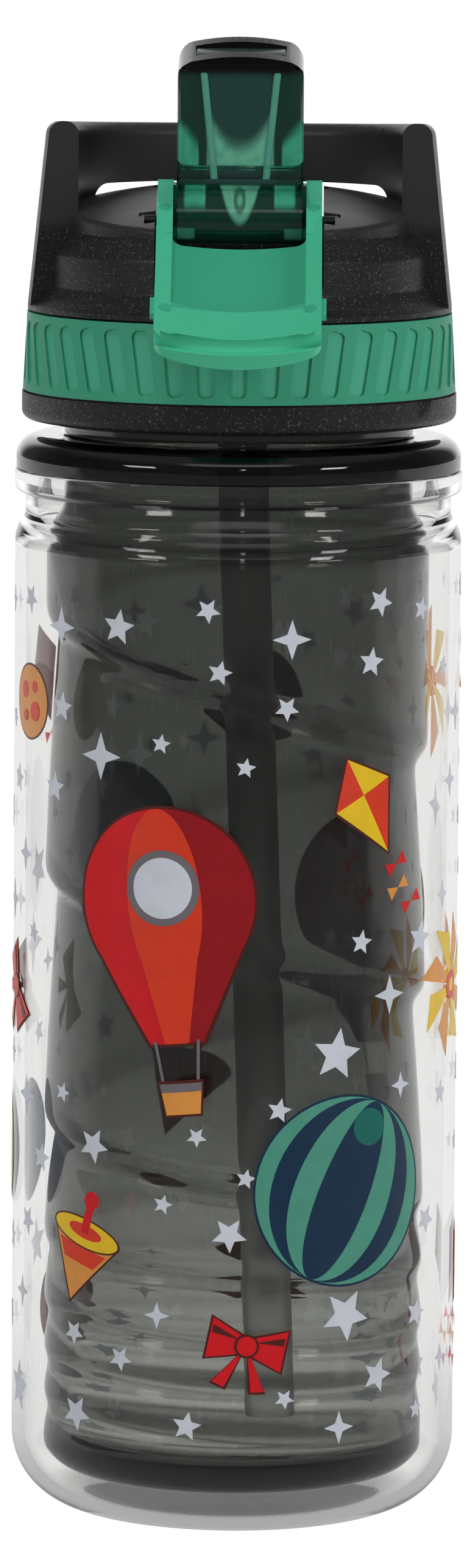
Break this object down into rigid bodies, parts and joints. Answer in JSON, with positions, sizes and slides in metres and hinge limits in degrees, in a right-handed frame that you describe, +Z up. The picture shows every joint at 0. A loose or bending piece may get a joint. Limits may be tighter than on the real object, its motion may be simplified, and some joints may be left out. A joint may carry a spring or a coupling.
{
  "type": "kids water bottle",
  "caption": "Double-wall kids' water bottle with screw lid, carry hoop, fold-down drinking spout with straw and flip cover.",
  "frame": {"origin": "centre of the flat base, on the surface that the bottle stands on", "axes": "+Z up along the bottle's axis, -Y towards the front, where the cover hangs open, +X to the right seen from the front"},
  "size_m": [0.0737, 0.0859, 0.2445],
  "materials": {
    "clear_wall": "clear glossy copolyester",
    "smoke_wall": "smoked glossy copolyester",
    "black_plastic": "fine moulded texture",
    "green_plastic": "satin",
    "green_clear": "transparent green, glossy",
    "smoke_soft": "soft translucent silicone",
    "silicone": "translucent silicone",
    "straw_plastic": "translucent",
    "print_ink": "flat printed inks on the clear wall"
  },
  "bodies": {
    "bottle_body": {"outer_wall": "clear_wall", "inner_bottle": "smoke_wall"},
    "lid_ring": {"lid_gasket": "silicone"},
    "lid_body": {"inner_cap": "black_plastic", "lid_skirt": "black_plastic", "grip_band": "green_plastic", "lid_shell": "black_plastic", "spout_seal": "silicone", "straw_socket": "silicone", "straw": "straw_plastic", "air_valve": "silicone", "hinge_pin_left": "black_plastic", "hinge_pin_right": "black_plastic"},
    "spout_body": {"spout": "green_clear", "bite_tip": "smoke_soft"},
    "cover_body": {"cover": "green_plastic"}
  },
  "joints": [
    {"name": "lid_lift", "type": "slide", "parent": "bottle_body", "child": "lid_ring", "axis": [0, 0, 1], "range_m": [0, 0.00563]},
    {"name": "lid_turn", "type": "hinge", "parent": "lid_ring", "child": "lid_body", "pos_m": [0, 0, 0.19], "axis": [0, 0, 1], "range_deg": [0, 450]},
    {"name": "spout_pivot", "type": "hinge", "parent": "lid_body", "child": "spout_body", "pos_m": [0, -0.016, 0.215], "axis": [-1, 0, 0], "range_deg": [0, 90]},
    {"name": "cover_hinge", "type": "hinge", "parent": "lid_body", "child": "cover_body", "pos_m": [0, -0.016, 0.215], "axis": [-1, 0, 0], "range_deg": [0, 207.5]}
  ],
  "couplings": [
    {"joint": "lid_lift", "follows": "lid_turn", "m_per_rad": 0.0007162},
    {"joint": "spout_pivot", "follows": "cover_hinge", "ratio": 0.43373}
  ]
}
